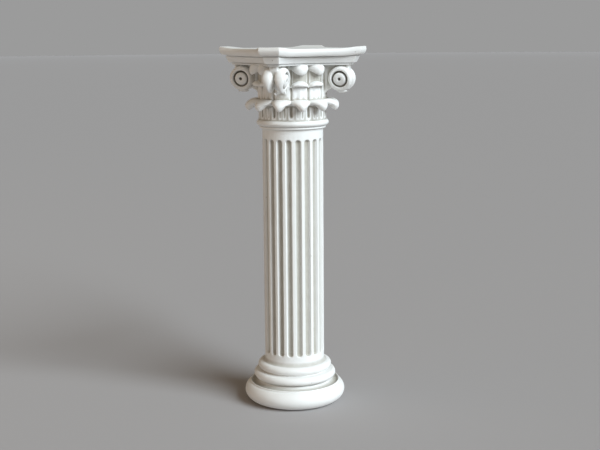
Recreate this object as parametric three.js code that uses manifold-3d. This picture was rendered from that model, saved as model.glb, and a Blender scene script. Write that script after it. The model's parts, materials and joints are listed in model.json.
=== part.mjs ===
// A small cast corinthian column: a moulded round base, a fluted shaft, a leafy capital with paired
// corner volutes, and an abacus with cut corners and hollow sides. The whole column is one casting,
// so it is one solid. Millimetres, +Z up, origin on the floor under the middle of the base.
// The abacus sides face +-X and +-Y, and its cut corners lie on the diagonals.

import * as THREE from 'three';
import { mergeVertices } from 'three/addons/utils/BufferGeometryUtils.js';
import Module from 'manifold-3d';

const wasm = await Module();
wasm.setup();

// Base, from the floor up: foot torus, quirk, ring torus, quirk, collar torus, flare into the shaft
const FOOT_RADIUS = 42.6;
const FOOT_SEAT_RADIUS = 30.5;
const FOOT_BELLY_HEIGHT = 9.1;
const FOOT_HEIGHT = 18.9;
const FILLET_HEIGHT = 1.5;
const QUIRK_DEPTH = 2.2;
const QUIRK_HEIGHT = 0.9;
const RING_RADIUS = 34.8;
const RING_HEIGHT = 6.8;
const RING_SHOULDER_RADIUS = 31.8;
const COLLAR_RADIUS = 31.2;
const COLLAR_HEIGHT = 6.7;
const COLLAR_SHOULDER_RADIUS = 27.6;
const FLARE_HEIGHT = 4.2;

// Shaft
const SHAFT_RADIUS = 25.2;
const SHAFT_HEIGHT = 194.9;
const FLUTE_COUNT = 20;
const FLUTE_RADIUS = 2.5;
const FLUTE_DEPTH = 2.3;
const FLUTE_FOOT_MARGIN = 3.9;
const FLUTE_HEAD_MARGIN = 8.5;

// Necking under the capital: a thin fillet, a quirk and a bead
const NECK_FILLET_RADIUS = 27.5;
const NECK_FILLET_HEIGHT = 1.4;
const NECK_QUIRK_HEIGHT = 0.4;
const BEAD_RADIUS = 29.9;
const BEAD_HEIGHT = 5.2;

// Bell of the capital
const BELL_RADIUS = 26.6;
const BELL_LIP_RADIUS = 31.5;
const BELL_FOOT_RADIUS = 27.4;
const BELL_FOOT_HEIGHT = 4.0;
const BELL_HEIGHT = 44.2;

// Leaves: proud of their lower part over the bell, reach of the curl from the bell, height of its
// crest over the bell's foot, hang of the tip below the crest, thickness of the curl and how
// pointed it is; the valley between two lower leaves has a reach and a hang of its own
const LOWER_LEAVES = 12;
const LOWER_PROUD = 0.8;
const LOWER_REACH = 13.0;
const LOWER_CREST = 17.0;
const LOWER_HANG = 9.6;
const LOWER_THICKNESS = 5.0;
const LOWER_POINT = 1.2;
const LOWER_VALLEY_REACH = 3.8;
const LOWER_VALLEY_HANG = 3.4;
const LOWER_VALLEY_THICKNESS = 2.4;
const LEAVES_PER_FACE = 2;
const FACE_LEAF_WIDTH = 28;
const MIDDLE_PROUD = 1.9;
const MIDDLE_REACH = 6.3;
const MIDDLE_CREST = 32.3;
const MIDDLE_HANG = 5.0;
const MIDDLE_THICKNESS = 3.2;
const MIDDLE_POINT = 0.4;
const UPPER_PROUD = 3.4;
const UPPER_REACH = 9.0;
const UPPER_CREST = 45.0;
const UPPER_HANG = 8.5;
const UPPER_THICKNESS = 4.0;
const UPPER_POINT = 0.5;

// Volutes: a pair of scrolls at each corner, joined to the bell by a stalk
const CORNERS = 4;
const VOLUTE_REACH = 42.1;
const VOLUTE_RADIUS = 10.3;
const VOLUTE_DROP = 11.3;
const VOLUTE_HALF_WIDTH = 9.2;
const VOLUTE_TOE = 0.25;
const SCROLL_LAP = 0.3;
const RIM_WIDTH = 3.9;
const GROOVE_WIDTH = 1.5;
const GROOVE_DEPTH = 1.4;
const BUTTON_RADIUS = 4.6;
const EYE_RADIUS = 1.1;
const STALK_HALF_WIDTH = 5.4;
const STALK_PROUD = 1.6;

// Abacus: three courses, each with its reach to the cut corner, the reach of its hollow side, the
// half width of its cut corner and its height
const STRING_REACH = 51.2;
const STRING_SIDE_REACH = 32.2;
const STRING_CUT = 5.4;
const STRING_HEIGHT = 1.1;
const BAND_REACH = 55.7;
const BAND_SIDE_REACH = 35.4;
const BAND_CUT = 6.8;
const BAND_SLOPE = 2.4;
const BAND_HEIGHT = 4.4;
const SLAB_REACH = 60.7;
const SLAB_SIDE_REACH = 41.8;
const SLAB_CUT = 8.5;
const SLAB_OVOLO = 2.9;
const SLAB_HEIGHT = 6.2;
const COURSE_QUIRK_HEIGHT = 0.85;
const COURSE_QUIRK_DEPTH = 1.2;
const CORNER_LIFT = 1.5;
const LIFT_START = 47.0;

// Fineness of the round work
const TURN_STEPS = 40;
const BELL_STEPS = 24;
const FLUTE_STEPS = 8;
const ARC_STEPS = 4;
const LEAF_STEPS = 4;
const SCROLL_STEPS = 12;
const SIDE_STEPS = 6;
const OVERLAP = 1.2;

// Levels
const RING_Z = FOOT_HEIGHT + FILLET_HEIGHT;
const COLLAR_Z = RING_Z + RING_HEIGHT + QUIRK_HEIGHT;
const SHAFT_Z = COLLAR_Z + COLLAR_HEIGHT + FLARE_HEIGHT;
const NECK_Z = SHAFT_Z + SHAFT_HEIGHT;
const BEAD_Z = NECK_Z + NECK_FILLET_HEIGHT + NECK_QUIRK_HEIGHT;
const BELL_Z = BEAD_Z + BEAD_HEIGHT;
const ABACUS_Z = BELL_Z + BELL_HEIGHT;
const VOLUTE_Z = ABACUS_Z - VOLUTE_DROP;

const HALF_PI = Math.PI / 2;
const CORNER_TURN = 45;
const FULL_TURN = 2 * Math.PI;
const radians = THREE.MathUtils.degToRad;
const lerp = THREE.MathUtils.lerp;

// Signed volume of an indexed geometry; negative when its faces point inwards
function signedVolume(geometry) {
  const points = geometry.getAttribute('position');
  const index = geometry.getIndex();
  const a = new THREE.Vector3();
  const b = new THREE.Vector3();
  const c = new THREE.Vector3();
  let volume = 0;
  for (let i = 0; i < index.count; i += 3) {
    a.fromBufferAttribute(points, index.getX(i));
    b.fromBufferAttribute(points, index.getX(i + 1));
    c.fromBufferAttribute(points, index.getX(i + 2));
    volume += a.dot(b.cross(c)) / 6;
  }
  return volume;
}

// A closed solid from a geometry: shared vertices merged, slivers dropped, faces turned outwards
function toSolid(geometry) {
  geometry.deleteAttribute('normal');
  geometry.deleteAttribute('uv');
  const merged = mergeVertices(geometry, 1e-4);
  const flip = signedVolume(merged) < 0;
  const index = merged.getIndex();
  const triangles = [];
  for (let i = 0; i < index.count; i += 3) {
    const [a, b, c] = [index.getX(i), index.getX(i + 1), index.getX(i + 2)];
    if (a === b || b === c || c === a) continue;
    triangles.push(a, flip ? c : b, flip ? b : c);
  }
  return new wasm.Manifold(new wasm.Mesh({
    numProp: 3,
    vertProperties: new Float32Array(merged.getAttribute('position').array),
    triVerts: new Uint32Array(triangles),
  }));
}

// A solid through closed rings of points, rings[i][j] a Vector3; joined end to end when closed,
// otherwise capped with a fan from the middle of each end ring
function ringSolid(rings, closed) {
  const count = rings[0].length;
  const points = rings.flat().flatMap((point) => point.toArray());
  const faces = [];
  const bands = closed ? rings.length : rings.length - 1;
  for (let i = 0; i < bands; i += 1) {
    const here = i * count;
    const next = ((i + 1) % rings.length) * count;
    for (let j = 0; j < count; j += 1) {
      const k = (j + 1) % count;
      faces.push(here + j, next + j, next + k, here + j, next + k, here + k);
    }
  }
  if (!closed) {
    for (const [ring, start, turned] of [[rings[0], 0, true], [rings.at(-1), bands * count, false]]) {
      const middle = ring.reduce((sum, point) => sum.add(point), new THREE.Vector3());
      const hub = points.length / 3;
      points.push(...middle.divideScalar(count).toArray());
      for (let j = 0; j < count; j += 1) {
        const k = (j + 1) % count;
        faces.push(hub, start + (turned ? j : k), start + (turned ? k : j));
      }
    }
  }
  const geometry = new THREE.BufferGeometry();
  geometry.setAttribute('position', new THREE.Float32BufferAttribute(points, 3));
  geometry.setIndex(faces);
  return toSolid(geometry);
}

// Points of an elliptic arc in the (radius, height) plane
function arc(centreR, centreZ, halfWidth, halfHeight, from, to, steps = ARC_STEPS) {
  return Array.from({ length: steps + 1 }, (_, i) => {
    const angle = radians(lerp(from, to, i / steps));
    return new THREE.Vector2(centreR + halfWidth * Math.cos(angle), centreZ + halfHeight * Math.sin(angle));
  });
}

// A profile of (radius, height) points turned on the axis
function turned(outline, steps) {
  return toSolid(new THREE.LatheGeometry(outline, steps).rotateX(HALF_PI));
}

// Base, plain shaft and necking
function shaftAndBase() {
  const at = (radius, height) => new THREE.Vector2(radius, height);
  const ringMiddle = RING_Z + RING_HEIGHT / 2;
  const beadMiddle = BEAD_Z + BEAD_HEIGHT / 2;
  const beadShoulder = NECK_FILLET_RADIUS - NECK_QUIRK_HEIGHT;
  const collarMiddle = COLLAR_Z + COLLAR_HEIGHT / 2;
  const quirkRadius = RING_SHOULDER_RADIUS - QUIRK_DEPTH;
  const footWidth = FOOT_RADIUS - FOOT_SEAT_RADIUS;
  const shoulderStart = 20;
  const collarStart = -50;
  const outline = [
    at(0, 0),
    ...arc(FOOT_SEAT_RADIUS, FOOT_BELLY_HEIGHT, footWidth, FOOT_BELLY_HEIGHT, -90, 0, 3),
    ...arc(FOOT_SEAT_RADIUS, FOOT_BELLY_HEIGHT, footWidth, FOOT_HEIGHT - FOOT_BELLY_HEIGHT,
      shoulderStart, 90, 3),
    at(quirkRadius, RING_Z),
    ...arc(RING_SHOULDER_RADIUS, ringMiddle, RING_RADIUS - RING_SHOULDER_RADIUS, RING_HEIGHT / 2, -90, 90),
    at(quirkRadius, RING_Z + RING_HEIGHT),
    at(quirkRadius, COLLAR_Z),
    ...arc(COLLAR_SHOULDER_RADIUS, collarMiddle, COLLAR_RADIUS - COLLAR_SHOULDER_RADIUS,
      COLLAR_HEIGHT / 2, collarStart, 90, 3),
    ...arc(COLLAR_SHOULDER_RADIUS, SHAFT_Z, COLLAR_SHOULDER_RADIUS - SHAFT_RADIUS, FLARE_HEIGHT,
      -90, -180, 2),
    at(SHAFT_RADIUS, NECK_Z),
    at(NECK_FILLET_RADIUS, NECK_Z),
    at(NECK_FILLET_RADIUS, NECK_Z + NECK_FILLET_HEIGHT),
    ...arc(beadShoulder, beadMiddle, BEAD_RADIUS - beadShoulder, BEAD_HEIGHT / 2, -90, 90),
    at(0, BELL_Z),
  ];
  return turned(outline, TURN_STEPS);
}

// The bell that the leaves stand against, from inside the bead to inside the abacus
function bell() {
  const foot = BELL_Z + BELL_FOOT_HEIGHT;
  const outline = [
    new THREE.Vector2(0, BELL_Z - OVERLAP),
    new THREE.Vector2(BELL_FOOT_RADIUS, BELL_Z - OVERLAP),
    new THREE.Vector2(BELL_FOOT_RADIUS, foot),
    ...arc(BELL_LIP_RADIUS, foot, BELL_RADIUS - BELL_LIP_RADIUS, ABACUS_Z + OVERLAP - foot, 0, 90, 3),
    new THREE.Vector2(0, ABACUS_Z + OVERLAP),
  ];
  return turned(outline, BELL_STEPS);
}

// One flute: a round-ended cutter standing in the face of the shaft
function fluteCutter(angle) {
  const foot = SHAFT_Z + FLUTE_FOOT_MARGIN;
  const head = NECK_Z - FLUTE_HEAD_MARGIN;
  const cutter = new THREE.CapsuleGeometry(FLUTE_RADIUS, head - foot - 2 * FLUTE_RADIUS, 2, FLUTE_STEPS);
  cutter.rotateX(HALF_PI);
  cutter.translate(SHAFT_RADIUS + FLUTE_RADIUS - FLUTE_DEPTH, 0, (foot + head) / 2);
  cutter.rotateZ(angle);
  return toSolid(cutter);
}

// Section of a leaf that climbs the bell, curls over at its crest and hangs to a tip, as rows of
// radius, height and the sharpness of the lobe there, from the foot out and back
function leafSection(foot, crest, { proud, reach, hang, thickness }) {
  return [
    [BELL_RADIUS - OVERLAP, foot, 1],
    [BELL_RADIUS + proud, foot, 0.6],
    [BELL_RADIUS + proud, crest - 1.7 * thickness, 0.8],
    [BELL_RADIUS + lerp(proud, reach, 0.45), crest - thickness, 1],
    [BELL_RADIUS + 0.77 * reach, crest - hang, 3],
    [BELL_RADIUS + 0.95 * reach, crest - 0.76 * hang, 2],
    [BELL_RADIUS + reach, crest - 0.48 * hang, 1.2],
    [BELL_RADIUS + 0.84 * reach, crest - 0.14 * hang, 1],
    [BELL_RADIUS + 0.45 * reach, crest, 0.8],
    [BELL_RADIUS - OVERLAP, crest - 0.3 * thickness, 0.8],
  ];
}

// Ring of one leaf section at an angle, between its full form at the rib and its form at the edge;
// across is 0 at the rib and 1 at the edge, and point is how pointed the leaf is
function leafRing(full, edge, across, angle, point) {
  return full.map(([radius, height, sharpness], i) => {
    const share = Math.abs(Math.cos(HALF_PI * Math.abs(across))) ** (point * sharpness);
    const r = lerp(edge[i][0], radius, share);
    const z = lerp(edge[i][1], height, share);
    return new THREE.Vector3(r * Math.cos(angle), r * Math.sin(angle), z);
  });
}

// The collar of lower leaves, one closed ring of lobes with a leaf under each corner
function lowerCollar() {
  const foot = BELL_Z + BELL_FOOT_HEIGHT / 2;
  const crest = BELL_Z + LOWER_CREST;
  const full = leafSection(foot, crest, {
    proud: LOWER_PROUD, reach: LOWER_REACH, hang: LOWER_HANG, thickness: LOWER_THICKNESS,
  });
  const valley = leafSection(foot, crest - LOWER_VALLEY_THICKNESS / 2, {
    proud: 0, reach: LOWER_VALLEY_REACH, hang: LOWER_VALLEY_HANG, thickness: LOWER_VALLEY_THICKNESS,
  });
  const steps = LOWER_LEAVES * LEAF_STEPS;
  const rings = Array.from({ length: steps }, (_, i) => {
    const turn = i / LEAF_STEPS;
    const across = 2 * (turn - Math.round(turn));
    const angle = radians(CORNER_TURN) + turn * FULL_TURN / LOWER_LEAVES;
    return leafRing(full, valley, across, angle, LOWER_POINT);
  });
  return ringSolid(rings, true);
}

// One leaf on a face, from its foot to its crest, with its edges sunk in the bell
function faceLeaf(angle, foot, crest, form) {
  const full = leafSection(foot, crest, form);
  const edge = leafSection(foot, crest - 0.4 * form.hang, {
    proud: -OVERLAP / 2, reach: -OVERLAP, hang: 0.5 * form.hang, thickness: form.thickness / 2,
  });
  const rings = Array.from({ length: LEAF_STEPS + 1 }, (_, i) => {
    const across = lerp(-1, 1, i / LEAF_STEPS);
    const turn = across * radians(FACE_LEAF_WIDTH) / 2;
    return leafRing(full, edge, across, angle + turn, form.point);
  });
  return ringSolid(rings, false);
}

// The two stacked leaves of each column on each face
function faceLeaves() {
  const lower = {
    proud: MIDDLE_PROUD, reach: MIDDLE_REACH, hang: MIDDLE_HANG, thickness: MIDDLE_THICKNESS,
    point: MIDDLE_POINT,
  };
  const upper = {
    proud: UPPER_PROUD, reach: UPPER_REACH, hang: UPPER_HANG, thickness: UPPER_THICKNESS,
    point: UPPER_POINT,
  };
  const lowerFoot = BELL_Z + LOWER_CREST - LOWER_VALLEY_THICKNESS;
  const lowerCrest = BELL_Z + MIDDLE_CREST;
  const leaves = [];
  for (let face = 0; face < CORNERS; face += 1) {
    for (let i = 0; i < LEAVES_PER_FACE; i += 1) {
      const turn = (i - (LEAVES_PER_FACE - 1) / 2) * FULL_TURN / LOWER_LEAVES;
      const angle = face * HALF_PI + turn;
      leaves.push(faceLeaf(angle, lowerFoot, lowerCrest, lower));
      leaves.push(faceLeaf(angle, lowerCrest - MIDDLE_THICKNESS / 2, BELL_Z + UPPER_CREST, upper));
    }
  }
  return leaves;
}

// One scroll of a corner pair, turned on its own axis with a rim, a ring groove, a button and an
// eye, then thinned towards its lowest point; side is +1 or -1 from the diagonal
function scroll(side) {
  const face = VOLUTE_HALF_WIDTH / 2;
  const grooveOuter = VOLUTE_RADIUS - RIM_WIDTH;
  const outline = [
    new THREE.Vector2(0, -face),
    new THREE.Vector2(VOLUTE_RADIUS - GROOVE_WIDTH / 2, -face),
    new THREE.Vector2(VOLUTE_RADIUS, face / 2),
    new THREE.Vector2(VOLUTE_RADIUS - GROOVE_WIDTH, face),
    new THREE.Vector2(grooveOuter, face),
    new THREE.Vector2(grooveOuter - GROOVE_WIDTH / 2, face - GROOVE_DEPTH),
    new THREE.Vector2(Math.min(BUTTON_RADIUS, grooveOuter - GROOVE_WIDTH), face - 0.2 * GROOVE_DEPTH),
    new THREE.Vector2(EYE_RADIUS, face),
    new THREE.Vector2(0, face - GROOVE_DEPTH),
  ];
  const geometry = new THREE.LatheGeometry(outline, SCROLL_STEPS);
  const points = geometry.getAttribute('position');
  for (let i = 0; i < points.count; i += 1) {
    const up = points.getZ(i) / VOLUTE_RADIUS;
    const share = lerp(VOLUTE_TOE, 1, THREE.MathUtils.smoothstep(up, -1.05, 0.35));
    points.setY(i, side * (face - SCROLL_LAP + points.getY(i) * share));
  }
  geometry.translate(VOLUTE_REACH, 0, VOLUTE_Z);
  return toSolid(geometry);
}

// The stalk that rises from the lower leaves, leans out under the scrolls and meets the abacus
function stalk() {
  const stations = [
    [BELL_RADIUS + STALK_PROUD / 2, BELL_Z + LOWER_CREST / 2, 0.8],
    [BELL_RADIUS + STALK_PROUD, BELL_Z + LOWER_CREST + STALK_PROUD, 1],
    [BELL_RADIUS + 3 * STALK_PROUD, VOLUTE_Z - 0.55 * VOLUTE_RADIUS, 1],
    [VOLUTE_REACH, VOLUTE_Z - 0.2 * VOLUTE_RADIUS, 0.7],
    [VOLUTE_REACH + 0.8 * VOLUTE_RADIUS, VOLUTE_Z + 0.5 * VOLUTE_RADIUS, 0.7],
    [VOLUTE_REACH + 0.8 * VOLUTE_RADIUS, ABACUS_Z + OVERLAP, 0.9],
  ];
  const back = BELL_RADIUS - 3 * OVERLAP;
  const rings = stations.map(([radius, height, share]) => {
    const half = share * STALK_HALF_WIDTH;
    return [
      new THREE.Vector3(back, -half, height),
      new THREE.Vector3(radius - half / 3, -half, height),
      new THREE.Vector3(radius, -half / 2, height),
      new THREE.Vector3(radius, half / 2, height),
      new THREE.Vector3(radius - half / 3, half, height),
      new THREE.Vector3(back, half, height),
    ];
  });
  return ringSolid(rings, false);
}

// Plan of an abacus course: four hollow sides, each an arc, between four cut corners
function coursePlan({ corner, side, cut }) {
  const across = (corner - cut) * Math.SQRT1_2;
  const along = (corner + cut) * Math.SQRT1_2;
  const sagitta = along - side;
  const curve = (across * across + sagitta * sagitta) / (2 * sagitta);
  const sweep = Math.asin(across / curve);
  const points = [];
  for (let face = 0; face < CORNERS; face += 1) {
    for (let i = 0; i <= SIDE_STEPS; i += 1) {
      const angle = lerp(-sweep, sweep, i / SIDE_STEPS);
      const point = new THREE.Vector2(side + curve * (1 - Math.cos(angle)), curve * Math.sin(angle));
      points.push(point.rotateAround(new THREE.Vector2(), face * HALF_PI));
    }
  }
  return points;
}

// Plan of a course moved inwards by an even inset
function inset({ corner, side, cut }, depth) {
  const cutInset = depth * Math.tan(radians(CORNER_TURN / 2));
  return { corner: corner - depth, side: side - depth, cut: cut - cutInset };
}

// Height that the corners of the slab are lifted by at a distance from the axis
function cornerLift(distance) {
  return CORNER_LIFT * THREE.MathUtils.smoothstep(distance, LIFT_START, SLAB_REACH);
}

// The abacus: string course, band and slab with an ovolo under its edge, and lifted corners
function abacus() {
  const string = { corner: STRING_REACH, side: STRING_SIDE_REACH, cut: STRING_CUT };
  const band = { corner: BAND_REACH, side: BAND_SIDE_REACH, cut: BAND_CUT };
  const slab = { corner: SLAB_REACH, side: SLAB_SIDE_REACH, cut: SLAB_CUT };
  const stringTop = ABACUS_Z + STRING_HEIGHT;
  const bandZ = stringTop + COURSE_QUIRK_HEIGHT;
  const slabZ = bandZ + BAND_HEIGHT + COURSE_QUIRK_HEIGHT;
  const top = slabZ + SLAB_HEIGHT;
  const levels = [
    [inset(string, COURSE_QUIRK_DEPTH / 2), ABACUS_Z, 0],
    [string, stringTop, 0],
    [inset(string, COURSE_QUIRK_DEPTH), (stringTop + bandZ) / 2, 0],
    [inset(band, BAND_SLOPE), bandZ, 0],
    [band, bandZ + BAND_HEIGHT, 0.6],
    [inset(band, COURSE_QUIRK_DEPTH), slabZ, 0.8],
    [inset(slab, SLAB_OVOLO), slabZ, 0.8],
    [inset(slab, 0.3 * SLAB_OVOLO), slabZ + 0.6 * SLAB_OVOLO, 0.85],
    [slab, slabZ + 0.55 * SLAB_HEIGHT, 0.9],
    [inset(slab, 0.1 * SLAB_OVOLO), top, 1],
  ];
  const rings = levels.map(([plan, height, lift]) => coursePlan(plan).map((point) => (
    new THREE.Vector3(point.x, point.y, height + lift * cornerLift(point.length()))
  )));
  const plateau = rings.at(-1).map((point) => (
    new THREE.Vector3(point.x, point.y, 0).clampLength(0, LIFT_START - OVERLAP).setZ(top)
  ));
  return ringSolid([...rings, plateau], false);
}

function column() {
  let body = shaftAndBase();
  for (let i = 0; i < FLUTE_COUNT; i += 1) {
    body = body.subtract(fluteCutter(i * FULL_TURN / FLUTE_COUNT));
  }
  body = body.add(bell()).add(lowerCollar());
  for (const leaf of faceLeaves()) body = body.add(leaf);
  for (let corner = 0; corner < CORNERS; corner += 1) {
    const turn = CORNER_TURN + 360 * corner / CORNERS;
    for (const piece of [stalk(), scroll(1), scroll(-1)]) body = body.add(piece.rotate([0, 0, turn]));
  }
  return body.add(abacus());
}

function toGeometry(solid) {
  const mesh = solid.getMesh();
  const geometry = new THREE.BufferGeometry();
  geometry.setAttribute('position', new THREE.BufferAttribute(mesh.vertProperties, 3));
  geometry.setIndex(new THREE.BufferAttribute(mesh.triVerts, 1));
  geometry.computeVertexNormals();
  return geometry;
}

const plaster = new THREE.MeshStandardMaterial({ color: 0xe9e6df, roughness: 0.78, metalness: 0 });

const group = new THREE.Group();
const columnMesh = new THREE.Mesh(toGeometry(column()), plaster);
columnMesh.name = 'column';
group.add(columnMesh);

export default group;
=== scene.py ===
"""Looks of a small cast corinthian column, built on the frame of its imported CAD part.

The column is one casting: a moulded round base, a fluted shaft, a leafy capital with paired corner
volutes, and an abacus with hollow sides. One fused mesh stands for the solid. Lengths in the classes
are millimetres, as on a maker's drawing, and meshes are brought to metres when they are finished.
Angles round the column are degrees from +X; the abacus sides face +-X and +-Y.
"""

from __future__ import annotations

import json
import logging
import math
from dataclasses import dataclass, field
from enum import Enum

import bpy
import numpy as np
from mathutils import Matrix, Vector

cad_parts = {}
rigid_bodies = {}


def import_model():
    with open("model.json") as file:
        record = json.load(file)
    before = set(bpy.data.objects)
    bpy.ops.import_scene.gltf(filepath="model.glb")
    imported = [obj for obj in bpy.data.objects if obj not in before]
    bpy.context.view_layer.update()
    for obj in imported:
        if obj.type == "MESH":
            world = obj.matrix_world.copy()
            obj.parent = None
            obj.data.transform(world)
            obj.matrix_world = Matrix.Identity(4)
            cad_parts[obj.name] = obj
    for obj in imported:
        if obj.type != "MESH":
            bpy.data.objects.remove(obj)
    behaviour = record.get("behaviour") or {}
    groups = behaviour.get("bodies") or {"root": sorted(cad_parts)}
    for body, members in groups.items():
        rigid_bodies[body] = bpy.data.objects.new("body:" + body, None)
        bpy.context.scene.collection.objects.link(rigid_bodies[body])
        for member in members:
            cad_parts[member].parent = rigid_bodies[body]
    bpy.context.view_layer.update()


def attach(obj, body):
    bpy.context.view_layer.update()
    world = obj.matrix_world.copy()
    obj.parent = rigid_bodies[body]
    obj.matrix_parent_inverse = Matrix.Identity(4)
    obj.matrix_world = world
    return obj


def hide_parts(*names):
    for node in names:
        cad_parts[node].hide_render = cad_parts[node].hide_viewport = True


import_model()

log = logging.getLogger("column")

METRE = 0.001
FULL_TURN = 2 * math.pi
CORNER_AZIMUTH = 45.0
QUARTER = 90.0
FINE_STEP = 0.1
LEAF_STEP = 30.0
HALF_LEAF = LEAF_STEP / 2


class Detail(Enum):
    """How finely a band of the turned work is divided round the axis."""

    PLAIN = 100
    FLUTED = 400


def smoothstep(value: np.ndarray, low: float, high: float) -> np.ndarray:
    """Rise from 0 at low to 1 at high along 3t^2 - 2t^3.

    Args:
        value: Where the rise is read.
        low: Value at which it starts.
        high: Value at which it ends.

    Returns:
        The share, from 0 to 1.
    """
    t = np.clip((value - low) / (high - low), 0.0, 1.0)
    return t * t * (3.0 - 2.0 * t)


def hump(value: np.ndarray, half: float) -> np.ndarray:
    """Half a cosine wave, 1 at zero and 0 from half outwards: (1 + cos(pi x / half)) / 2.

    Args:
        value: Distance from the middle of the hump.
        half: Half width.

    Returns:
        Height of the hump.
    """
    return 0.5 + 0.5 * np.cos(math.pi * np.clip(value / half, -1.0, 1.0))


def lerp(start: float | np.ndarray, end: float | np.ndarray, share: float | np.ndarray) -> np.ndarray:
    """Straight blend from start to end: start + (end - start) * share."""
    return start + (end - start) * share


def soft_min(first: np.ndarray, second: np.ndarray, width: float) -> np.ndarray:
    """Lower of two heights with the crossing rounded over a width, by a quadratic blend.

    Args:
        first: One height.
        second: The other height.
        width: Difference at which the rounding starts.

    Returns:
        The rounded minimum.
    """
    share = np.clip(0.5 + 0.5 * (second - first) / width, 0.0, 1.0)
    return lerp(second, first, share) - width * share * (1.0 - share)


def turn_from(azimuth: np.ndarray, start: float, step: float) -> np.ndarray:
    """Signed angle to the nearest of the directions start + k * step, in degrees."""
    return (azimuth - start + step / 2) % step - step / 2


def arc(centre: tuple[float, float], half: tuple[float, float], ends: tuple[float, float]) -> np.ndarray:
    """Points of an elliptic arc: centre + (a cos t, b sin t), t running between two angles.

    Args:
        centre: Radius and height of the middle.
        half: Half width and half height.
        ends: First and last angle in degrees.

    Returns:
        Rows of radius and height.
    """
    t = np.radians(np.linspace(ends[0], ends[1], 33))
    return np.stack([centre[0] + half[0] * np.cos(t), centre[1] + half[1] * np.sin(t)], axis=1)


def path_length(points: np.ndarray) -> np.ndarray:
    """Length along a line of points up to each of them, starting at 0."""
    return np.concatenate([[0.0], np.cumsum(np.linalg.norm(np.diff(points, axis=0), axis=1))])


def softened_profile(points: np.ndarray, softness: float, spacing: float, bend: float) -> np.ndarray:
    """A profile with its edges rounded as a cast rounds them, and few points where it runs straight.

    The line is sampled every tenth of a millimetre, each sample becomes the mean of its neighbours
    under a Gaussian of the given softness, and new points are laid at even steps of
    length / spacing + bend * turning.

    Args:
        points: Corners of the profile, rows of any number of coordinates.
        softness: Standard deviation of the Gaussian.
        spacing: Distance between points on a straight stretch.
        bend: Points added per radian of turning.

    Returns:
        The new rows.
    """
    along = path_length(points)
    fine = np.linspace(0.0, along[-1], int(along[-1] / FINE_STEP) + 2)
    line = np.stack([np.interp(fine, along, column) for column in points.T], axis=1)
    reach = int(4 * softness / FINE_STEP) + 1
    weights = np.exp(-0.5 * (np.arange(-reach, reach + 1) * FINE_STEP / softness) ** 2)
    weights /= weights.sum()
    padded = np.concatenate([
        2 * line[:1] - line[reach:0:-1],
        line,
        2 * line[-1:] - line[-2:-reach - 2:-1],
    ])
    smooth = np.stack([np.convolve(column, weights, "valid") for column in padded.T], axis=1)
    step = np.diff(smooth, axis=0)
    length = np.linalg.norm(step, axis=1)
    heading = step / np.maximum(length, 1e-9)[:, None]
    turning = np.concatenate([[0.0], np.linalg.norm(np.diff(heading, axis=0), axis=1)])
    cost = np.concatenate([[0.0], np.cumsum(length / spacing + bend * turning)])
    wanted = np.linspace(0.0, cost[-1], int(cost[-1]) + 2)
    return np.stack([np.interp(wanted, cost, column) for column in smooth.T], axis=1)


def closed_curve(points: np.ndarray, count: int) -> np.ndarray:
    """A closed Catmull-Rom curve through points, along the first axis.

    Each stretch between two points is the cubic whose slope at a point is half the step from the
    point before it to the point after it.

    Args:
        points: The points, any number of further axes.
        count: How many samples the curve gets.

    Returns:
        The samples.
    """
    t = np.arange(count) * len(points) / count
    i = t.astype(int)
    f = (t - i).reshape((-1,) + (1,) * (points.ndim - 1))
    a, b, c, d = (points[(i + k) % len(points)] for k in (-1, 0, 1, 2))
    return b + 0.5 * f * (c - a + f * (2 * a - 5 * b + 4 * c - d + f * (3 * (b - c) + d - a)))


def about_axis(radius: np.ndarray, height: np.ndarray, azimuth: np.ndarray) -> np.ndarray:
    """Points (r cos a, r sin a, z) from a radius, a height and an azimuth in degrees."""
    angle = np.radians(azimuth)
    return np.stack(np.broadcast_arrays(radius * np.cos(angle), radius * np.sin(angle), height), axis=-1)


def lumps(points: np.ndarray, size: float, seed: int) -> np.ndarray:
    """Smooth seeded unevenness: the mean of cosine waves that run in many directions.

    Args:
        points: Where it is read, rows of x, y and z.
        size: Mean wave length.
        seed: Seed of the directions and phases.

    Returns:
        Values of about -1 to 1.
    """
    source = np.random.default_rng(seed)
    count = 28
    waves = source.normal(size=(count, 3))
    pace = FULL_TURN / size * source.uniform(0.6, 1.5, count)
    waves *= (pace / np.linalg.norm(waves, axis=1))[:, None]
    total = np.zeros(len(points))
    for wave, phase in zip(waves, source.uniform(0.0, FULL_TURN, count)):
        total += np.cos(points @ wave + phase)
    return total / math.sqrt(count * 2.5)


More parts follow.
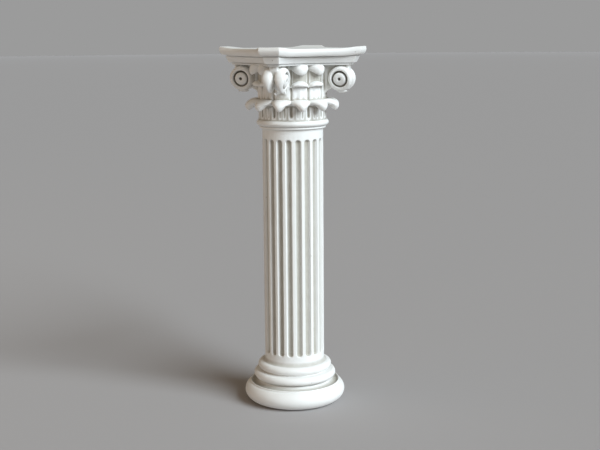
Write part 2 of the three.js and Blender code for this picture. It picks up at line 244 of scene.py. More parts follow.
@dataclass
class Shell:
    """A surface as points and faces.

    Attributes:
        points: Rows of x, y and z.
        quads: Rows of four point numbers.
        triangles: Rows of three point numbers.
    """

    points: np.ndarray
    quads: np.ndarray
    triangles: np.ndarray = field(default_factory=lambda: np.zeros((0, 3), int))

    @classmethod
    def tube(cls, grid: np.ndarray) -> Shell:
        """A ring-shaped surface: grid[i, j] is section point i at station j, and both run round."""
        rows, columns = grid.shape[:2]
        i, j = np.meshgrid(np.arange(rows), np.arange(columns), indexing="ij")
        k, m = (i + 1) % rows, (j + 1) % columns
        quads = np.stack([i * columns + j, i * columns + m, k * columns + m, k * columns + j], axis=-1)
        return cls(grid.reshape(-1, 3), quads.reshape(-1, 4))

    @classmethod
    def drum(cls, grid: np.ndarray) -> Shell:
        """A surface closed by two fans: grid[i, j] is point j of ring i, and the rings run round."""
        rows, columns = grid.shape[:2]
        i, j = np.meshgrid(np.arange(rows - 1), np.arange(columns), indexing="ij")
        k, m = i + 1, (j + 1) % columns
        quads = np.stack([i * columns + j, i * columns + m, k * columns + m, k * columns + j], axis=-1)
        ends = grid[[0, -1]].mean(axis=1)
        hub = rows * columns
        here = np.arange(columns)
        after = (here + 1) % columns
        last = (rows - 1) * columns
        fans = np.concatenate([
            np.stack([np.full(columns, hub), after, here], axis=1),
            np.stack([np.full(columns, hub + 1), last + here, last + after], axis=1),
        ])
        return cls(np.concatenate([grid.reshape(-1, 3), ends]), quads.reshape(-1, 4), fans)

    @classmethod
    def joined(cls, shells: list[Shell]) -> Shell:
        """All the surfaces in one, with their points numbered on."""
        starts = np.concatenate([[0], np.cumsum([len(shell.points) for shell in shells])])[:-1]
        return cls(
            np.concatenate([shell.points for shell in shells]),
            np.concatenate([shell.quads + start for shell, start in zip(shells, starts)]),
            np.concatenate([shell.triangles + start for shell, start in zip(shells, starts)]),
        )

    def outwards(self) -> Shell:
        """The same surface with its faces turned so that its volume is positive."""
        tris = np.concatenate([self.quads[:, [0, 1, 2]], self.quads[:, [0, 2, 3]], self.triangles])
        a, b, c = (self.points[tris[:, k]] for k in range(3))
        if np.einsum("ij,ij->i", a, np.cross(b, c)).sum() < 0:
            return Shell(self.points, self.quads[:, ::-1], self.triangles[:, ::-1])
        return self

    def turned(self, azimuth: float) -> Shell:
        """The same surface turned about the column's axis by an angle in degrees."""
        matrix = np.array(Matrix.Rotation(math.radians(azimuth), 3, "Z"))
        return Shell(self.points @ matrix.T, self.quads, self.triangles)

    def to_mesh(self, name: str) -> bpy.types.Mesh:
        """A Blender mesh of the surface, smooth shaded, in the units of the points."""
        mesh = bpy.data.meshes.new(name)
        sizes = np.concatenate([np.full(len(self.quads), 4), np.full(len(self.triangles), 3)])
        corners = np.concatenate([self.quads.ravel(), self.triangles.ravel()])
        mesh.vertices.add(len(self.points))
        mesh.vertices.foreach_set("co", self.points.astype(np.float32).ravel())
        mesh.loops.add(len(corners))
        mesh.loops.foreach_set("vertex_index", corners.astype(np.int32))
        mesh.polygons.add(len(sizes))
        mesh.polygons.foreach_set("loop_start", (np.cumsum(sizes) - sizes).astype(np.int32))
        mesh.polygons.foreach_set("use_smooth", np.ones(len(sizes), bool))
        mesh.update(calc_edges=True)
        mesh.validate()
        return mesh


def new_object(name: str, data: bpy.types.ID) -> bpy.types.Object:
    """A new object of a mesh, a lamp or a camera, linked to the scene."""
    made = bpy.data.objects.new(name, data)
    bpy.context.scene.collection.objects.link(made)
    return made


def read_values(items: bpy.types.bpy_prop_collection, name: str, kind: type, width: int) -> np.ndarray:
    """A property of all items of a mesh as rows of numbers.

    Args:
        items: The mesh's points, edges or the like.
        name: The property.
        kind: Its number type.
        width: How many numbers an item has.

    Returns:
        One row for each item.
    """
    values = np.empty(len(items) * width, kind)
    items.foreach_get(name, values)
    return values.reshape(-1, width)


def drop(helper: bpy.types.Object) -> None:
    """Delete an object that stood in the scene only while a mesh was worked on, and its mesh."""
    old = helper.data
    bpy.data.objects.remove(helper)
    bpy.data.meshes.remove(old)


def finished_mesh(helper: bpy.types.Object) -> bpy.types.Mesh:
    """The mesh of an object with its modifiers applied.

    Args:
        helper: The object, which is deleted.

    Returns:
        A mesh of its own.
    """
    depsgraph = bpy.context.evaluated_depsgraph_get()
    mesh = bpy.data.meshes.new_from_object(helper.evaluated_get(depsgraph), depsgraph=depsgraph)
    drop(helper)
    return mesh


@dataclass
class Base:
    """Round base: a foot torus, a thin torus, a small one, and a hollow flare into the shaft.

    Quirks part the tori, and a thin ridge runs round the shoulder of the foot.

    Attributes:
        seat_radius: Flat underside, and middle of the foot's curve.
        foot_radius: Widest radius of the foot torus, at belly height.
        ridge_radius: Crest of the ridge; it stands ridge_proud over the curve of the foot.
        ridge_start: Angle on the foot's curve at which the ridge begins, from the horizontal.
        collar_start: Angle on the small torus at which its curve begins, from the horizontal.
    """

    seat_radius: float = 30.5
    foot_radius: float = 42.6
    belly_height: float = 9.1
    foot_height: float = 18.9
    ridge_radius: float = 37.7
    ridge_proud: float = 0.75
    ridge_start: float = 46.0
    fillet_height: float = 1.5
    quirk_radius: float = 28.0
    quirk_height: float = 0.9
    ring_radius: float = 34.8
    ring_height: float = 6.8
    ring_shoulder: float = 31.8
    collar_radius: float = 31.2
    collar_height: float = 6.7
    collar_shoulder: float = 27.6
    collar_start: float = -55.0
    flare_height: float = 4.2

    @property
    def ring_z(self) -> float:
        """Height at which the thin torus starts."""
        return self.foot_height + self.fillet_height

    @property
    def collar_z(self) -> float:
        """Height at which the small torus starts."""
        return self.ring_z + self.ring_height + self.quirk_height

    @property
    def top(self) -> float:
        """Height at which the shaft starts."""
        return self.collar_z + self.collar_height + self.flare_height

    def ridge(self) -> np.ndarray:
        """Notch and ridge on the foot's shoulder, and the hollow inside them, as radius and height.

        Offsets are taken from the crest, which stands over the ellipse of the foot at its radius.
        """
        width, rise = self.foot_radius - self.seat_radius, self.foot_height - self.belly_height
        share = (self.ridge_radius - self.seat_radius) / width
        crest = self.belly_height + rise * math.sqrt(1.0 - share**2) + self.ridge_proud
        offsets = np.array([
            [0.95, -1.85], [0.5, -1.3], [0.4, -0.3], [0.2, 0.0], [-0.3, 0.0], [-0.6, -0.5], [-1.0, -1.4],
            [-2.6, -1.6], [-4.4, -1.1], [-6.0, -0.3], [-7.1, 0.6],
        ])
        return np.array([self.ridge_radius, crest]) + offsets

    def profile(self, shaft_radius: float, end: float) -> np.ndarray:
        """Corners of the outline from the underside to a height on the shaft.

        Args:
            shaft_radius: Radius that the flare runs into.
            end: Height at which the outline ends.

        Returns:
            Rows of radius and height: elliptic arcs joined by the flats of the quirks.
        """
        middle = self.ring_z + self.ring_height / 2
        collar = self.collar_z + self.collar_height / 2
        width = self.foot_radius - self.seat_radius
        return np.concatenate([
            [[self.seat_radius / 2, 0.0]],
            arc((self.seat_radius, self.belly_height), (width, self.belly_height), (-90, 0)),
            arc((self.seat_radius, self.belly_height),
                (width, self.foot_height - self.belly_height), (2, self.ridge_start)),
            self.ridge(),
            [[self.seat_radius, self.foot_height], [self.quirk_radius, self.foot_height],
             [self.quirk_radius, self.ring_z]],
            arc((self.ring_shoulder, middle),
                (self.ring_radius - self.ring_shoulder, self.ring_height / 2), (-90, 90)),
            [[self.quirk_radius, self.ring_z + self.ring_height], [self.quirk_radius, self.collar_z]],
            arc((self.collar_shoulder, collar),
                (self.collar_radius - self.collar_shoulder, self.collar_height / 2),
                (self.collar_start, 90)),
            arc((self.collar_shoulder, self.top),
                (self.collar_shoulder - shaft_radius, self.flare_height), (-90, -180)),
            [[shaft_radius, end]],
        ])


@dataclass
class Shaft:
    """Shaft with round-ended flutes that stop short of its ends."""

    radius: float = 25.2
    height: float = 194.9
    flutes: int = 20
    flute_radius: float = 2.5
    flute_depth: float = 2.6
    foot_margin: float = 3.9
    head_margin: float = 8.5
    first_flute: float = 0.0
    edge_softness: float = 0.42

    def rows(self, start: float) -> np.ndarray:
        """Heights of the rings: close together at the flutes' round ends, far apart between them.

        Args:
            start: Height of the shaft's foot.

        Returns:
            The heights.
        """
        ends = np.array([-0.8, -0.25, 0.0, 0.12, 0.3, 0.55, 0.85, 1.2, 1.6, 2.0, 2.5, 3.2, 5.0])
        foot = start + self.foot_margin
        head = start + self.height - self.head_margin
        between = np.linspace(foot + 12.0, head - 12.0, 17)
        return np.concatenate([[foot - 1.7], foot + ends, between, (head - ends)[::-1], [head + 1.7]])

    def grid(self, start: float) -> np.ndarray:
        """The fluted surface.

        The radius is the lower of the shaft's own radius and the wall of a flute, with the edge
        between them rounded. A flute is a capsule: its wall lies at
        c cos(a) - sqrt(r^2 - x^2 - h^2), where c is the distance of its axis, a the angle from its
        middle, x = c sin(a) and h the height beyond its straight part.

        Args:
            start: Height of the shaft's foot.

        Returns:
            Points by ring and column.
        """
        z = self.rows(start)[:, None]
        columns = Detail.FLUTED.value
        azimuth = self.first_flute + np.arange(columns)[None, :] * 360.0 / columns
        turn = np.radians(turn_from(azimuth, self.first_flute, 360.0 / self.flutes))
        axis = self.radius + self.flute_radius - self.flute_depth
        low = start + self.foot_margin + self.flute_radius
        high = start + self.height - self.head_margin - self.flute_radius
        beyond = np.maximum(low - z, 0.0) + np.maximum(z - high, 0.0)
        off = np.hypot(axis * np.sin(turn), beyond)
        inside = np.sqrt(np.maximum(self.flute_radius**2 - off**2, 0.0))
        wall = axis * np.cos(turn) - inside + 2.0 * np.maximum(off - self.flute_radius, 0.0)
        radius = soft_min(np.full_like(wall, self.radius), wall, self.edge_softness)
        return about_axis(radius, z, azimuth)


@dataclass
class Necking:
    """Fillet, quirk and bead between the shaft and the capital."""

    fillet_radius: float = 27.5
    fillet_height: float = 1.4
    quirk_height: float = 0.4
    quirk_depth: float = 1.1
    bead_radius: float = 29.9
    bead_height: float = 5.2

    @property
    def height(self) -> float:
        """Height of all three together."""
        return self.fillet_height + self.quirk_height + self.bead_height

    def profile(self, shaft_radius: float, start: float, neck: float) -> np.ndarray:
        """Corners of the outline from a height on the shaft to the flat top of the bead.

        Args:
            shaft_radius: Radius below the fillet.
            start: Height at which the outline starts.
            neck: Height of the fillet's underside.

        Returns:
            Rows of radius and height.
        """
        top = neck + self.fillet_height
        bead = top + self.quirk_height
        shoulder = self.fillet_radius - self.quirk_height
        return np.concatenate([
            [[shaft_radius, start], [shaft_radius, neck], [self.fillet_radius, neck],
             [self.fillet_radius, top], [self.fillet_radius - self.quirk_depth, top],
             [self.fillet_radius - self.quirk_depth, bead]],
            arc((shoulder, bead + self.bead_height / 2),
                (self.bead_radius - shoulder, self.bead_height / 2), (-90, 90)),
            [[20.0, bead + self.bead_height]],
        ])


@dataclass
class TurnedBody:
    """Base, shaft and necking as one closed turned surface.

    Attributes:
        spacing: Distance between the rings of the plain work where it runs straight.
        bend: Rings added per radian that its outline turns.
        stitch_gap: Height of the band in which plain and fluted rings are stitched.
    """

    base: Base = field(default_factory=Base)
    shaft: Shaft = field(default_factory=Shaft)
    necking: Necking = field(default_factory=Necking)
    softness: float = 0.28
    spacing: float = 1.6
    bend: float = 3.9
    stitch_gap: float = 0.9

    @property
    def neck_z(self) -> float:
        """Height of the shaft's head."""
        return self.base.top + self.shaft.height

    @property
    def top(self) -> float:
        """Height of the bead's flat top, on which the capital stands."""
        return self.neck_z + self.necking.height

    def plain_rings(self, profile: np.ndarray) -> np.ndarray:
        """A profile, softened and turned about the axis, with the columns of the plain work."""
        outline = softened_profile(profile, self.softness, self.spacing, self.bend)
        columns = Detail.PLAIN.value
        azimuth = self.shaft.first_flute + np.arange(columns)[None, :] * 360.0 / columns
        return about_axis(outline[:, :1], outline[:, 1:], azimuth)

    def stitch(self, coarse: int, fine: int) -> np.ndarray:
        """Triangles between a coarse ring and a ring with four points to each of its points.

        Args:
            coarse: Number of the first point of the coarse ring.
            fine: Number of the first point of the fine ring.

        Returns:
            Rows of three point numbers: two fans of two to each coarse point, and one between them.
        """
        i = np.arange(Detail.PLAIN.value)
        here, after = coarse + i, coarse + (i + 1) % Detail.PLAIN.value
        first = fine + (4 * i[:, None] + np.arange(5)) % Detail.FLUTED.value
        return np.concatenate([
            np.stack([here, first[:, 1], first[:, 0]], axis=1),
            np.stack([here, first[:, 2], first[:, 1]], axis=1),
            np.stack([here, after, first[:, 2]], axis=1),
            np.stack([after, first[:, 3], first[:, 2]], axis=1),
            np.stack([after, first[:, 4], first[:, 3]], axis=1),
        ])

    def shell(self) -> Shell:
        """The closed surface: plain, fluted and plain rings, stitched at the two changes."""
        rows = self.shaft.rows(self.base.top)
        radius, gap = self.shaft.radius, self.stitch_gap
        low = self.plain_rings(self.base.profile(radius, rows[0] - gap))
        middle = self.shaft.grid(self.base.top)
        high = self.plain_rings(self.necking.profile(radius, rows[-1] + gap, self.neck_z))
        plain, fluted = Detail.PLAIN.value, Detail.FLUTED.value
        ends = Shell.drum(np.concatenate([low, high]))
        kept = (ends.quads[:, 0] // plain) != len(low) - 1
        bands = Shell.drum(middle)
        start = len(ends.points)
        stitches = np.concatenate([
            self.stitch((len(low) - 1) * plain, start),
            self.stitch(len(low) * plain, start + (len(middle) - 1) * fluted)[:, ::-1],
        ])
        return Shell(
            np.concatenate([ends.points, middle.reshape(-1, 3)]),
            np.concatenate([ends.quads[kept], bands.quads + start]),
            np.concatenate([ends.triangles, stitches]),
        ).outwards()


@dataclass
class Bell:
    """Bell of the capital with its ribs, the two leaf columns of each face and the corner stalks.

    Angles are degrees round the axis, and a pair of heights is where a change starts and ends.

    Attributes:
        foot: Height of the bead's top.
        top: Height inside the abacus.
        rib_groove: Angle from the leaf's middle, half width and depth of a groove beside its rib.
        valley: Half width and depth of the groove between leaves.
        trunk_rib: Height of the ribs on the trunks.
        stalk_fall: Depth and angle of the fall from a stalk's middle to its side.
        middle_groove: Half width and depth of the groove in the middle of a face.
        side_groove: Half width and depth of the groove between trunk and stalk.
        bulge: Height, half height and depth of the swelling above the lower leaves.
    """

    foot: float
    top: float
    wall_radius: float = 28.0
    column_radius: float = 27.3
    column_swell: float = 1.0
    stalk_radius: float = 28.4
    rib_groove: tuple[float, float, float] = (3.7, 1.35, 1.8)
    rib_groove_start: tuple[float, float] = (2.0, 3.6)
    valley: tuple[float, float] = (3.2, 2.6)
    valley_start: tuple[float, float] = (1.6, 3.8)
    trunk_rib: float = 0.25
    trunk_rib_end: tuple[float, float] = (265.0, 268.0)
    stalk_fall: tuple[float, float] = (0.6, 14.0)
    middle_groove: tuple[float, float] = (3.2, 1.3)
    side_groove: tuple[float, float] = (2.8, 1.5)
    bulge: tuple[float, float, float] = (262.0, 10.0, 0.5)
    change: tuple[float, float] = (255.5, 257.5)
    rows: int = 150
    columns: int = 720

    def radius(self, azimuth: np.ndarray, z: np.ndarray) -> np.ndarray:
        """Radius of the bell at an azimuth and a height.

        Below the lower leaves it is the wall less a groove on each side of a leaf's middle rib and
        a wide one between leaves; the grooves end round above a plain band. Above them each face
        has two round trunks with grooves beside them, and each corner has a plain stalk.

        Args:
            azimuth: Degrees from +X.
            z: Height.

        Returns:
            The radius.
        """
        leaf = np.abs(turn_from(azimuth, CORNER_AZIMUTH, LEAF_STEP))
        face = np.abs(turn_from(azimuth, 0.0, QUARTER))
        up = z - self.foot
        middle, half, depth = self.rib_groove
        narrow = depth * hump(leaf - middle, half) * smoothstep(up, *self.rib_groove_start)
        half, depth = self.valley
        wide = depth * hump(leaf - HALF_LEAF, half) * smoothstep(up, *self.valley_start)
        wall = self.wall_radius - narrow - wide
        across = (face - HALF_LEAF) / HALF_LEAF
        ribs = self.trunk_rib * np.cos(3 * math.pi * across) * (1.0 - smoothstep(z, *self.trunk_rib_end))
        column = self.column_radius + self.column_swell * np.cos(0.5 * math.pi * across) + ribs
        fall, side = self.stalk_fall
        stalk = self.stalk_radius - fall * ((CORNER_AZIMUTH - face) / side) ** 2
        upper = np.where(face < LEAF_STEP, column, stalk)
        for place, (half, depth) in ((0.0, self.middle_groove), (LEAF_STEP, self.side_groove)):
            upper = upper - depth * hump(face - place, half)
        height, half, depth = self.bulge
        return lerp(wall, upper + depth * hump(z - height, half), smoothstep(z, *self.change))

    def shell(self) -> Shell:
        """The closed bell: its radius turned about the axis, between two flat ends."""
        z = np.linspace(self.foot - 1.3, self.top, self.rows)[:, None]
        azimuth = np.arange(self.columns)[None, :] * 360.0 / self.columns
        return Shell.drum(about_axis(self.radius(azimuth, z), z, azimuth)).outwards()


@dataclass
class LeafRow:
    """A row of leaf tips that curl out of the bell, as one ring.

    A section at a leaf's middle rib and a section at its edge are blended point by point. The
    share of the first falls from 1 at the rib to 0 at the edge as cos(pi v / 2) ^ s, where v runs
    from 0 to 1 and each point has its own s: the higher, the narrower the leaf is there.

    Attributes:
        name: What the row is called in the log.
        rib: Rows of radius, height and s at the middle rib, from inside the bell under the leaf to
            its tip and back over its crest.
        edge: Rows of radius and height at the edge, one for each row of rib.
        half_width: Half of a leaf's width in degrees.
        on_faces: Two leaves on each face, instead of a leaf every 30 degrees all round.
        serration: Height of the notch in each side of a leaf's tip.
        notch: Place across the leaf and half width of that notch.
        tip_sharpness: The s above which a point of the rib counts as tip.
    """

    name: str
    rib: np.ndarray
    edge: np.ndarray
    half_width: float
    on_faces: bool
    serration: float = 0.0
    notch: tuple[float, float] = (0.52, 0.16)
    tip_sharpness: float = 1.5
    columns: int = 720
    section_points: int = 60

    def across(self, azimuth: np.ndarray) -> np.ndarray:
        """Place across the leaf, -1 to 1, and 1 or -1 where there is no leaf."""
        if self.on_faces:
            face = turn_from(azimuth, 0.0, QUARTER)
            off = face - np.sign(face) * HALF_LEAF
        else:
            off = turn_from(azimuth, CORNER_AZIMUTH, LEAF_STEP)
        return np.clip(off / self.half_width, -1.0, 1.0)

    def shell(self) -> Shell:
        """The ring of all the leaves of the row."""
        azimuth = (np.arange(self.columns) + 0.5) * 360.0 / self.columns
        v = np.abs(self.across(azimuth))
        sharpness = self.rib[:, 2:3]
        share = np.cos(0.5 * math.pi * v)[None, :] ** sharpness
        section = lerp(self.edge[:, None, :], self.rib[:, None, :2], share[..., None])
        place, half = self.notch
        section[..., 1] += self.serration * hump(v - place, half)[None, :] * (sharpness > self.tip_sharpness)
        curve = closed_curve(section, self.section_points)
        return Shell.tube(about_axis(curve[..., 0], curve[..., 1], azimuth[None, :])).outwards()


@dataclass
class CornerVolutes:
    """The pair of scrolls at each corner, and the neck that carries them.

    Attributes:
        reach: Distance of the scrolls' middles from the column's axis.
        height: Height of their middles.
        half_width: Distance of the outer face of a scroll from the diagonal plane.
        heart: Distance of a scroll's own middle plane from the diagonal plane.
        toe: Share of a scroll's width that is left at its lowest point.
        shade_reach: Distance from the middle of the ring groove at which its painted shade ends.
        shade_depth: Depth under the outer face at which the painted shade ends.
        flash_size: Half length, half width and half height of a fin of flash.
    """

    reach: float = 42.1
    height: float = 273.8
    radius: float = 10.3
    half_width: float = 9.2
    heart: float = 4.9
    toe: float = 0.25
    groove_outer: float = 6.7
    groove_inner: float = 5.1
    groove_depth: float = 3.6
    button_radius: float = 4.7
    eye_radius: float = 1.15
    shade_reach: float = 1.15
    shade_depth: float = 6.0
    neck_half: float = 3.6
    flash_size: tuple[float, float, float] = (4.6, 1.1, 1.3)
    flash_raggedness: float = 0.3
    flash_seed: int = 30
    steps: int = 160

    def outline(self) -> np.ndarray:
        """Half section of a scroll from the diagonal plane out, rows of radius and distance.

        The inner side falls away from the rim, so that a narrow V stands open between the two
        scrolls; the outer face has a round rim, a ring groove, a raised button and a drilled eye.
        """
        r, w = self.radius, self.half_width
        return np.array([
            [2.0, -0.3], [4.2, -0.2], [6.0, 0.4], [7.8, 1.0], [9.2, 1.8], [10.0, 3.0], [r, 4.6], [10.25, 6.2],
            [9.9, 7.6], [9.2, 8.7], [8.3, w], [7.5, w + 0.1], [6.95, w - 0.1], [self.groove_outer, w - 0.6],
            [self.groove_outer - 0.2, w - self.groove_depth], [self.groove_inner + 0.2, w - self.groove_depth],
            [self.groove_inner, w - 0.8], [self.button_radius, w - 0.1], [3.6, w + 0.2], [2.4, w + 0.25],
            [self.eye_radius + 0.35, w + 0.1], [self.eye_radius, w - 0.3], [self.eye_radius - 0.2, w - 2.6],
        ])

    def width_share(self, up: np.ndarray) -> np.ndarray:
        """Share of its width that a scroll keeps at a height over its middle, in radii."""
        return lerp(self.toe, 1.0, smoothstep(up, -1.05, 0.25))

    def groove_shade(self, points: np.ndarray) -> np.ndarray:
        """Share of painted dark shade at points in the ring grooves and the drilled eyes.

        A point is folded onto the first diagonal and onto the unthinned scroll. There is painted
        shade where it lies under the outer face and its distance from the scroll's middle is that
        of the groove or within the eye.

        Args:
            points: Rows of x, y and z.

        Returns:
            Values from 0 to 1.
        """
        azimuth = np.degrees(np.arctan2(points[:, 1], points[:, 0]))
        turn = np.radians(turn_from(azimuth, CORNER_AZIMUTH, QUARTER))
        flat = np.linalg.norm(points[:, :2], axis=1)
        up = points[:, 2] - self.height
        rho = np.hypot(flat * np.cos(turn) - self.reach, up)
        side = np.abs(flat * np.sin(turn)) - self.heart
        under = self.half_width - self.heart - side / self.width_share(up / self.radius)
        middle = (self.groove_outer + self.groove_inner) / 2
        groove = 1.6 * hump(rho - middle, self.shade_reach) * smoothstep(under, 0.5, 1.5)
        eye = 1.0 - smoothstep(rho, self.eye_radius - 0.2, self.eye_radius + 0.4)
        shaded = np.clip(groove, 0.0, 1.0) + eye * smoothstep(under, 0.1, 0.7)
        return np.where(under < self.shade_depth, shaded, 0.0).clip(0.0, 1.0)

    def scroll(self, side: int) -> Shell:
        """One scroll on the +X diagonal.

        The outline is turned about an axis square to the diagonal plane, drawn out a little to the
        top outer side as a spiral is, and thinned towards its middle plane at its lowest point.

        Args:
            side: 1 or -1 from the diagonal plane.

        Returns:
            The closed surface.
        """
        outline = softened_profile(self.outline(), 0.18, 0.35, 2.0)
        angle = np.arange(self.steps)[None, :] * FULL_TURN / self.steps
        rho = outline[:, :1]
        swell = smoothstep(rho, self.groove_outer, self.radius)
        rho = rho + swell * (0.35 * np.cos(angle - math.radians(65.0)) - 0.25)
        share = self.width_share(rho * np.sin(angle) / self.radius)
        off = side * (self.heart + (outline[:, 1:] - self.heart) * share)
        along, up = self.reach + rho * np.cos(angle), self.height + rho * np.sin(angle)
        return Shell.drum(np.stack([along, off, up], axis=-1)).outwards()

    def neck(self, top: float) -> Shell:
        """The web in the diagonal plane that carries the scrolls: an outline with two flat sides.

        Args:
            top: Height inside the abacus.

        Returns:
            The closed surface.
        """
        outline = np.array([
            [20.0, 261.0], [28.0, 261.5], [31.5, 264.8], [36.0, 266.6], [42.0, 267.6], [45.5, 271.0],
            [47.3, 276.0], [48.6, 279.6], [49.2, 282.0], [49.8, top], [20.0, top],
        ])
        loop = np.concatenate([outline, outline[:1]])
        along = path_length(loop)
        wanted = np.linspace(0.0, along[-1], 160, endpoint=False)
        ring = np.stack([np.interp(wanted, along, column) for column in loop.T], axis=1)
        middle = np.array([36.0, 275.0])
        offs = np.array([[-1.0, 0.93], [-0.8, 0.985], [0.0, 1.0], [0.8, 0.985], [1.0, 0.93]])
        flat = middle + (ring[None] - middle) * offs[:, 1, None, None]
        side = np.broadcast_to(offs[:, :1] * self.neck_half, flat.shape[:2])
        return Shell.drum(np.stack([flat[..., 0], side, flat[..., 1]], axis=-1)).outwards()

    def flash(self, seed: int) -> Shell:
        """A thin ragged fin of flash left under a scroll: an ellipsoid made uneven by noise."""
        t = np.linspace(0.03, math.pi - 0.03, 24)[:, None]
        s = np.arange(40)[None, :] * FULL_TURN / 40
        sphere = about_axis(np.sin(t), np.cos(t), np.degrees(s))
        flat = sphere.reshape(-1, 3)
        sized = flat * (1.0 + self.flash_raggedness * lumps(flat, 0.9, seed))[:, None] * self.flash_size
        middle = np.array([self.reach + 0.4, 0.0, self.height - self.radius + 0.3])
        return Shell.drum(sized.reshape(sphere.shape) + middle).outwards()

    def shells(self, top: float) -> list[Shell]:
        """Everything at all four corners."""
        made = []
        for corner in range(4):
            azimuth = CORNER_AZIMUTH + QUARTER * corner
            pieces = [self.scroll(1), self.scroll(-1), self.neck(top), self.flash(self.flash_seed + corner)]
            made.extend(piece.turned(azimuth) for piece in pieces)
        return made


@dataclass
class Capital:
    """The leafy capital: a bell, three rows of leaf tips and the corner volutes, fused into one."""

    foot: float
    top: float = 286.3
    voxel: float = 0.46
    smoothing: int = 2
    smooth_factor: float = 0.5
    triangles: int = 88_000

    def lower_row(self) -> LeafRow:
        """Twelve long leaf tips in a collar, one under each corner."""
        rib = np.array([
            [25.5, 249.0, 1.0], [28.2, 251.2, 1.0], [29.8, 252.6, 1.1], [32.2, 252.9, 1.6], [34.2, 251.8, 2.6],
            [35.2, 250.0, 3.6], [36.0, 248.8, 4.4], [37.0, 248.5, 3.9], [38.2, 249.3, 2.7], [39.2, 250.8, 1.7],
            [39.6, 252.5, 1.2], [38.8, 254.9, 0.9], [36.2, 257.0, 0.75], [32.4, 258.1, 0.6], [28.2, 257.6, 0.6],
            [25.5, 256.8, 0.6],
        ])
        edge = np.array([
            [25.5, 250.2], [27.0, 252.2], [28.3, 252.9], [29.2, 253.1], [29.8, 253.2], [30.2, 253.3], [30.5, 253.5],
            [30.7, 253.8], [30.9, 254.2], [31.0, 254.6], [31.0, 255.1], [30.8, 255.7], [30.2, 256.3],
            [29.0, 256.9], [27.4, 257.0], [25.5, 256.6],
        ])
        return LeafRow("lower leaves", rib, edge, 15.0, on_faces=False, serration=0.7)

    def middle_row(self) -> LeafRow:
        """Small hoods half way up the leaf columns of the faces."""
        rib = np.array([
            [25.0, 267.4, 0.8], [28.0, 269.6, 0.8], [29.8, 271.2, 0.7], [30.9, 270.8, 0.6], [31.5, 269.5, 0.55],
            [32.2, 268.5, 0.5], [33.0, 269.0, 0.45], [33.3, 270.0, 0.45], [32.8, 271.2, 0.45], [31.4, 272.1, 0.5],
            [29.0, 272.7, 0.6], [25.0, 272.9, 0.6],
        ])
        edge = np.array([
            [24.5, 266.4], [25.5, 267.0], [26.4, 267.6], [27.1, 267.7], [27.6, 267.4], [28.0, 267.2], [28.3, 267.5],
            [28.3, 268.0], [28.0, 268.6], [27.3, 269.1], [26.2, 269.5], [24.5, 269.8],
        ])
        return LeafRow("middle leaves", rib, edge, 14.0, on_faces=True)

    def upper_row(self) -> LeafRow:
        """Large hoods under the abacus, at the head of the leaf columns."""
        rib = np.array([
            [25.0, 276.6, 0.8], [28.2, 278.6, 0.8], [30.2, 279.9, 0.8], [31.8, 279.3, 0.9], [32.7, 277.9, 1.0],
            [33.7, 277.4, 1.0], [34.9, 278.3, 0.85], [35.6, 280.3, 0.7], [35.6, 282.7, 0.6], [34.6, 284.9, 0.55],
            [32.2, 286.2, 0.5], [25.0, 286.4, 0.5],
        ])
        edge = np.array([
            [24.5, 279.6], [25.6, 280.6], [26.4, 281.2], [26.9, 281.4], [27.2, 281.4], [27.5, 281.6], [27.7, 282.2],
            [27.8, 282.9], [27.7, 283.6], [27.3, 284.4], [26.2, 285.0], [24.5, 285.4],
        ])
        return LeafRow("upper leaves", rib, edge, 14.0, on_faces=True)

    def mesh(self) -> bpy.types.Mesh:
        """The fused capital: its shells are joined, remeshed in voxels, smoothed and thinned."""
        bell = Bell(self.foot, self.top)
        rows = [self.lower_row(), self.middle_row(), self.upper_row()]
        shells = [bell.shell(), *(row.shell() for row in rows), *CornerVolutes().shells(self.top)]
        helper = new_object("capital_shells", Shell.joined(shells).to_mesh("capital_shells"))
        remesh = helper.modifiers.new("fuse", "REMESH")
        remesh.mode = "VOXEL"
        remesh.voxel_size = self.voxel
        remesh.use_smooth_shade = True
        smooth = helper.modifiers.new("soften", "SMOOTH")
        smooth.factor = self.smooth_factor
        smooth.iterations = self.smoothing
        fused = finished_mesh(helper)
        count = len(fused.polygons) * 2
        helper = new_object("capital_fused", fused)
        thin = helper.modifiers.new("thin", "DECIMATE")
        thin.ratio = min(1.0, self.triangles / count)
        made = finished_mesh(helper)
        log.info("capital: %s; %d shells, %d triangles fused, %d faces kept",
                 ", ".join(row.name for row in rows), len(shells), count, len(made.polygons))
        return made


